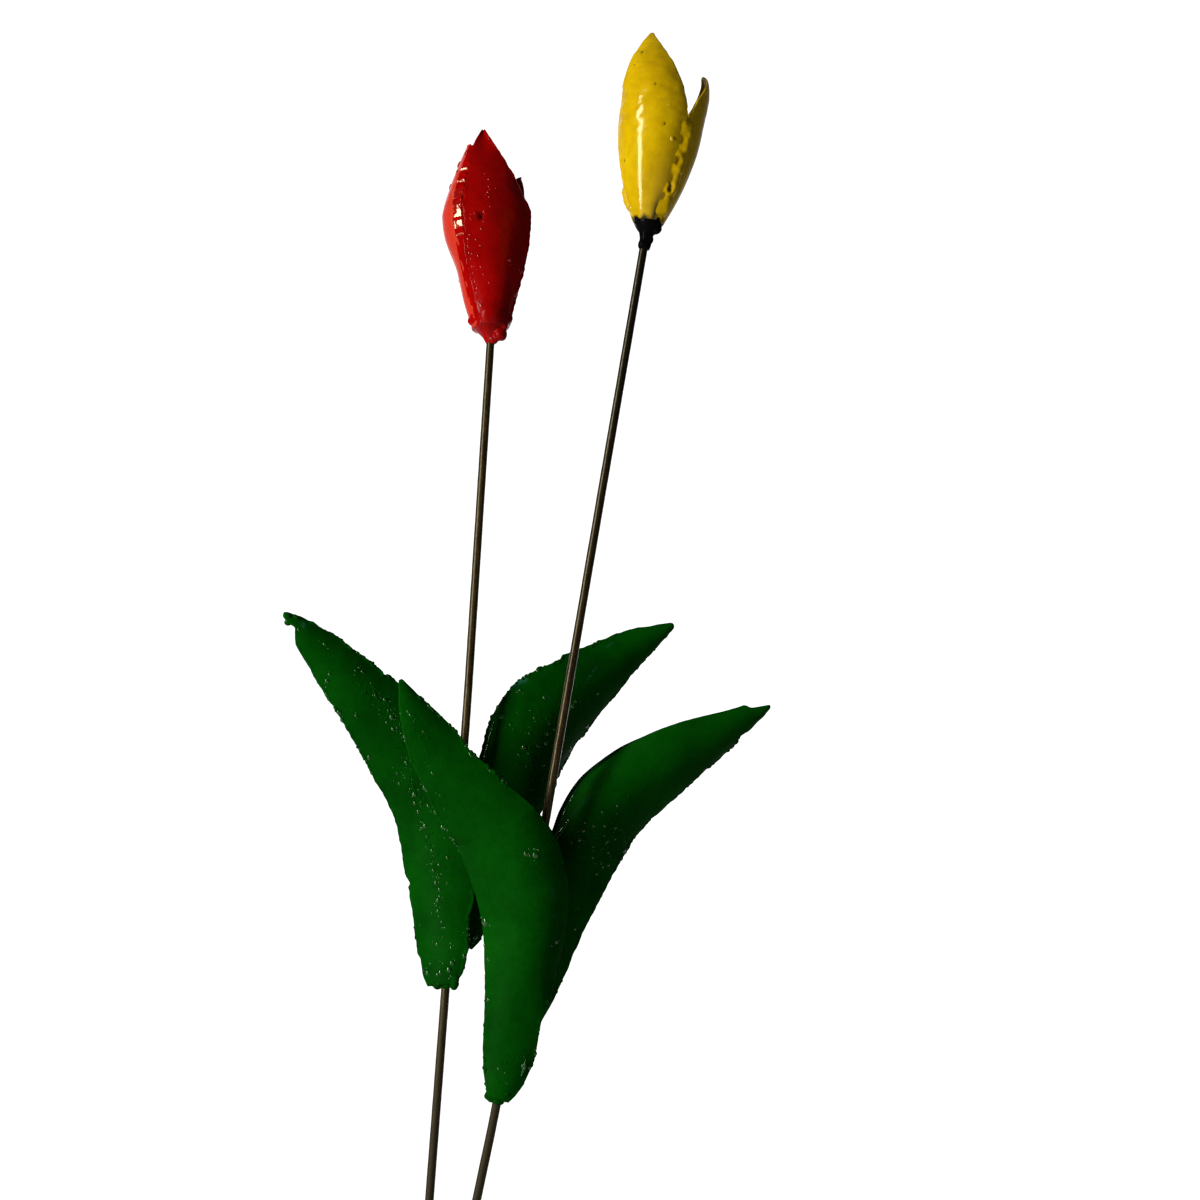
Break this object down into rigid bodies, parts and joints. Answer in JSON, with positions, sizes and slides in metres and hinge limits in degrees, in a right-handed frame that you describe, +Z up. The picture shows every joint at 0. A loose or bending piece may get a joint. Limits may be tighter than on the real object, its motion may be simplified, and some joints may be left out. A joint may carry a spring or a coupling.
{
  "type": "tulip garden stake",
  "caption": "Pair of hand-welded steel tulip stakes, one red and one yellow: round-bar stems pushed into soil, sheet-metal petals welded into a bud, and trough-shaped green leaves.",
  "frame": {"origin": "on the soil line, midway between the two stems", "axes": "+Z up out of the soil, +X to the viewer's right, -Y toward the viewer, who faces the front petals"},
  "size_m": [0.3398, 0.1496, 0.9977],
  "materials": {
    "red_paint": "thick glossy brushed enamel over weld spatter",
    "yellow_paint": "thick glossy brushed enamel",
    "green_paint": "satin to glossy brushed enamel over weld spatter",
    "black_paint": "glossy black enamel over the weld",
    "bare_stem": "dark browned mild-steel bar"
  },
  "bodies": {
    "red_stake": {"red_stem": "bare_stem", "red_left_leaf": "green_paint", "red_left_leaf_weld": "green_paint", "red_right_leaf": "green_paint", "red_right_leaf_weld": "green_paint", "red_front_petal": "red_paint", "red_front_petal_seam_weld": "red_paint", "red_right_petal": "red_paint", "red_right_petal_seam_weld": "red_paint", "red_left_petal": "red_paint", "red_left_petal_seam_weld": "red_paint", "red_flower_base_weld": "red_paint"},
    "yellow_stake": {"yellow_stem": "bare_stem", "yellow_left_leaf": "green_paint", "yellow_left_leaf_weld": "green_paint", "yellow_right_leaf": "green_paint", "yellow_right_leaf_weld": "green_paint", "yellow_front_petal": "yellow_paint", "yellow_front_petal_seam_weld": "yellow_paint", "yellow_right_petal": "yellow_paint", "yellow_right_petal_seam_weld": "yellow_paint", "yellow_back_petal": "yellow_paint", "yellow_back_petal_seam_weld": "yellow_paint", "yellow_flower_base_weld": "black_paint"}
  },
  "joints": [
    {"name": "yellow_stake_pull", "type": "slide", "parent": "red_stake", "child": "yellow_stake", "axis": [0.2061, -0.029, 0.9781], "range_m": [0, 0.15]}
  ]
}
